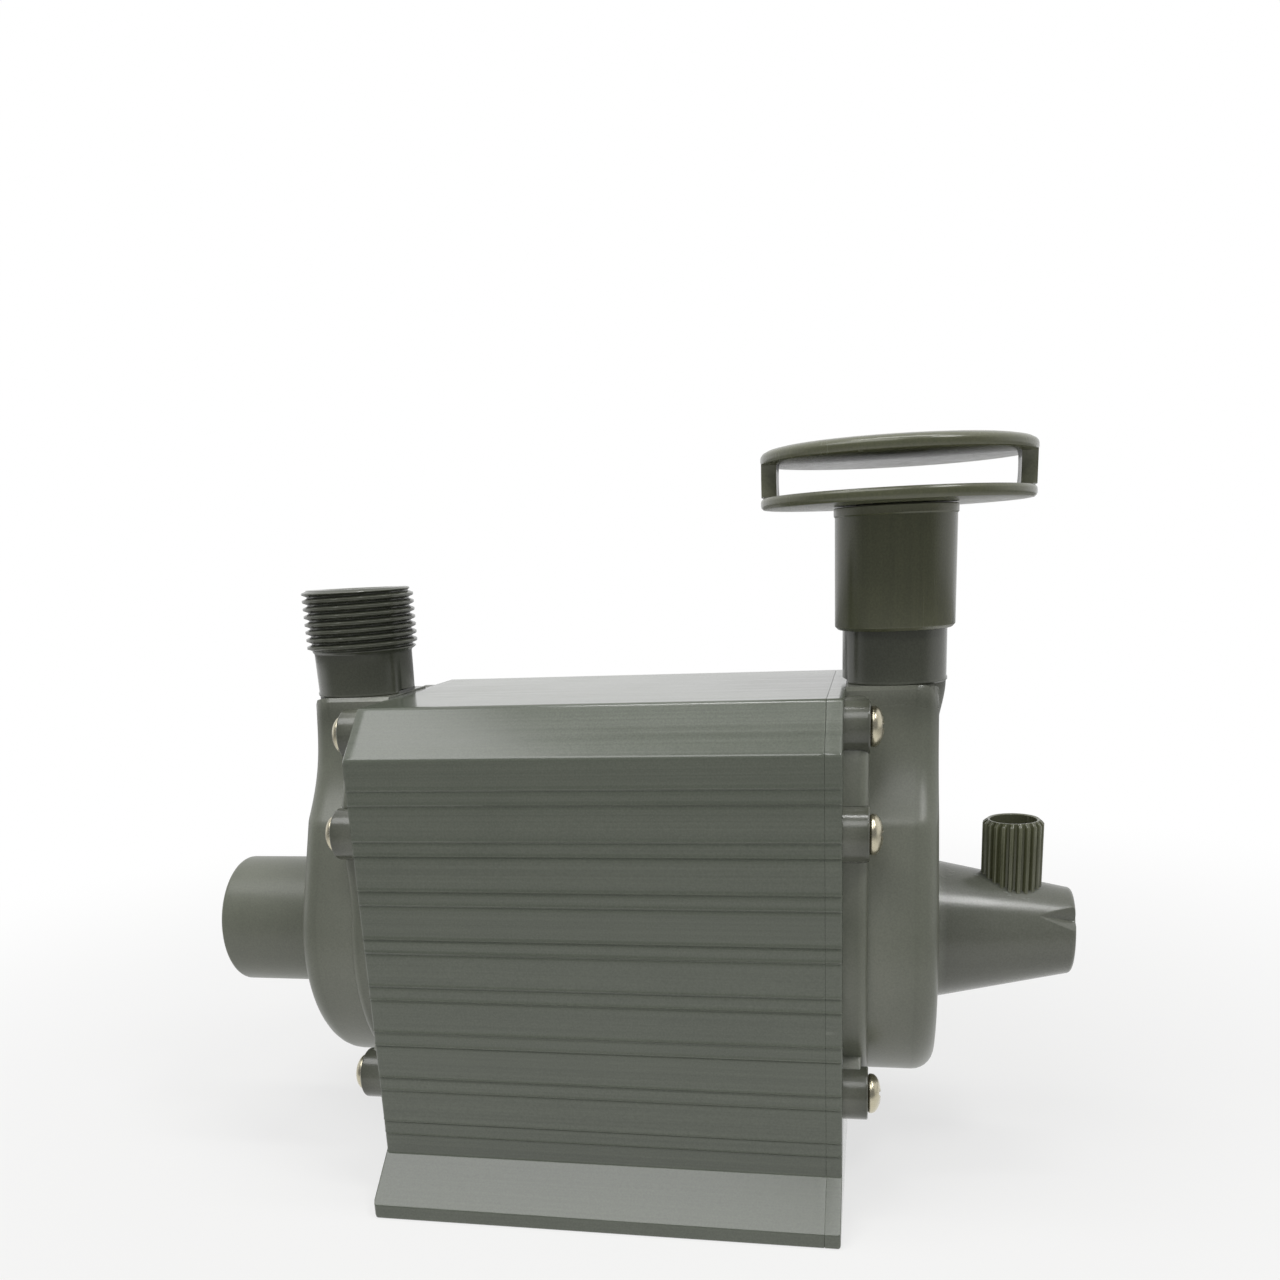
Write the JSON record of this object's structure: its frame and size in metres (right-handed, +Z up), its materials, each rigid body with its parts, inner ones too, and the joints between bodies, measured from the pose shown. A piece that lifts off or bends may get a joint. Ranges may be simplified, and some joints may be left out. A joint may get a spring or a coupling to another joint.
{
  "type": "air pump",
  "caption": "Twin-head pond pump: grooved motor block, water head with threaded outlet on one side, air-drawing head with flat round diffuser on the other.",
  "frame": {"origin": "centre of the motor block's underside", "axes": "+Z up out of the block, +X along the rotor towards the air side, -Y out of the long face beside the shown screws"},
  "size_m": [0.2074, 0.0986, 0.1663],
  "materials": {
    "housing_plastic": "satin moulded, grey-olive",
    "volute_plastic": "satin moulded, grey-olive",
    "dark_plastic": "satin moulded, darker grey-olive",
    "stainless": "polished",
    "lamination_steel": "bare laminations",
    "copper_wire": "enamelled",
    "nylon": "natural",
    "resin": "cast",
    "ferrite": "sintered",
    "ceramic": "ground",
    "rubber": "soft"
  },
  "bodies": {
    "block": {"air_intake_stub": "dark_plastic", "air_volute": "volute_plastic", "bobbin_front": "nylon", "bobbin_rear": "nylon", "end_cover": "housing_plastic", "motor_housing": "housing_plastic", "potting_resin": "resin", "rotor_can": "nylon", "rotor_shaft": "ceramic", "screw_air_front_1": "stainless", "screw_air_front_2": "stainless", "screw_air_front_3": "stainless", "screw_air_rear_1": "stainless", "screw_air_rear_2": "stainless", "screw_air_rear_3": "stainless", "screw_water_front_1": "stainless", "screw_water_front_2": "stainless", "screw_water_front_3": "stainless", "screw_water_rear_1": "stainless", "screw_water_rear_2": "stainless", "screw_water_rear_3": "stainless", "seal_ring_air": "rubber", "seal_ring_water": "rubber", "shaft_bush_air": "rubber", "shaft_bush_water": "rubber", "stator_core": "lamination_steel", "thrust_washer_air": "ceramic", "thrust_washer_water": "ceramic", "venturi_nozzle": "volute_plastic", "water_volute": "volute_plastic", "winding_front": "copper_wire", "winding_rear": "copper_wire"},
    "rotor": {"rotor_magnet": "ferrite", "water_impeller": "dark_plastic", "air_impeller": "dark_plastic"},
    "diffuser": {"diffuser_socket": "dark_plastic", "diffuser_dish": "dark_plastic", "diffuser_cap": "dark_plastic"}
  },
  "joints": [
    {"name": "rotor_spin", "type": "hinge", "parent": "block", "child": "rotor", "pos_m": [0, 0, 0.057], "axis": [1, 0, 0], "continuous": true},
    {"name": "diffuser_turn", "type": "hinge", "parent": "block", "child": "diffuser", "pos_m": [0.0637, 0, 0.1274], "axis": [0, 0, 1], "continuous": true}
  ]
}
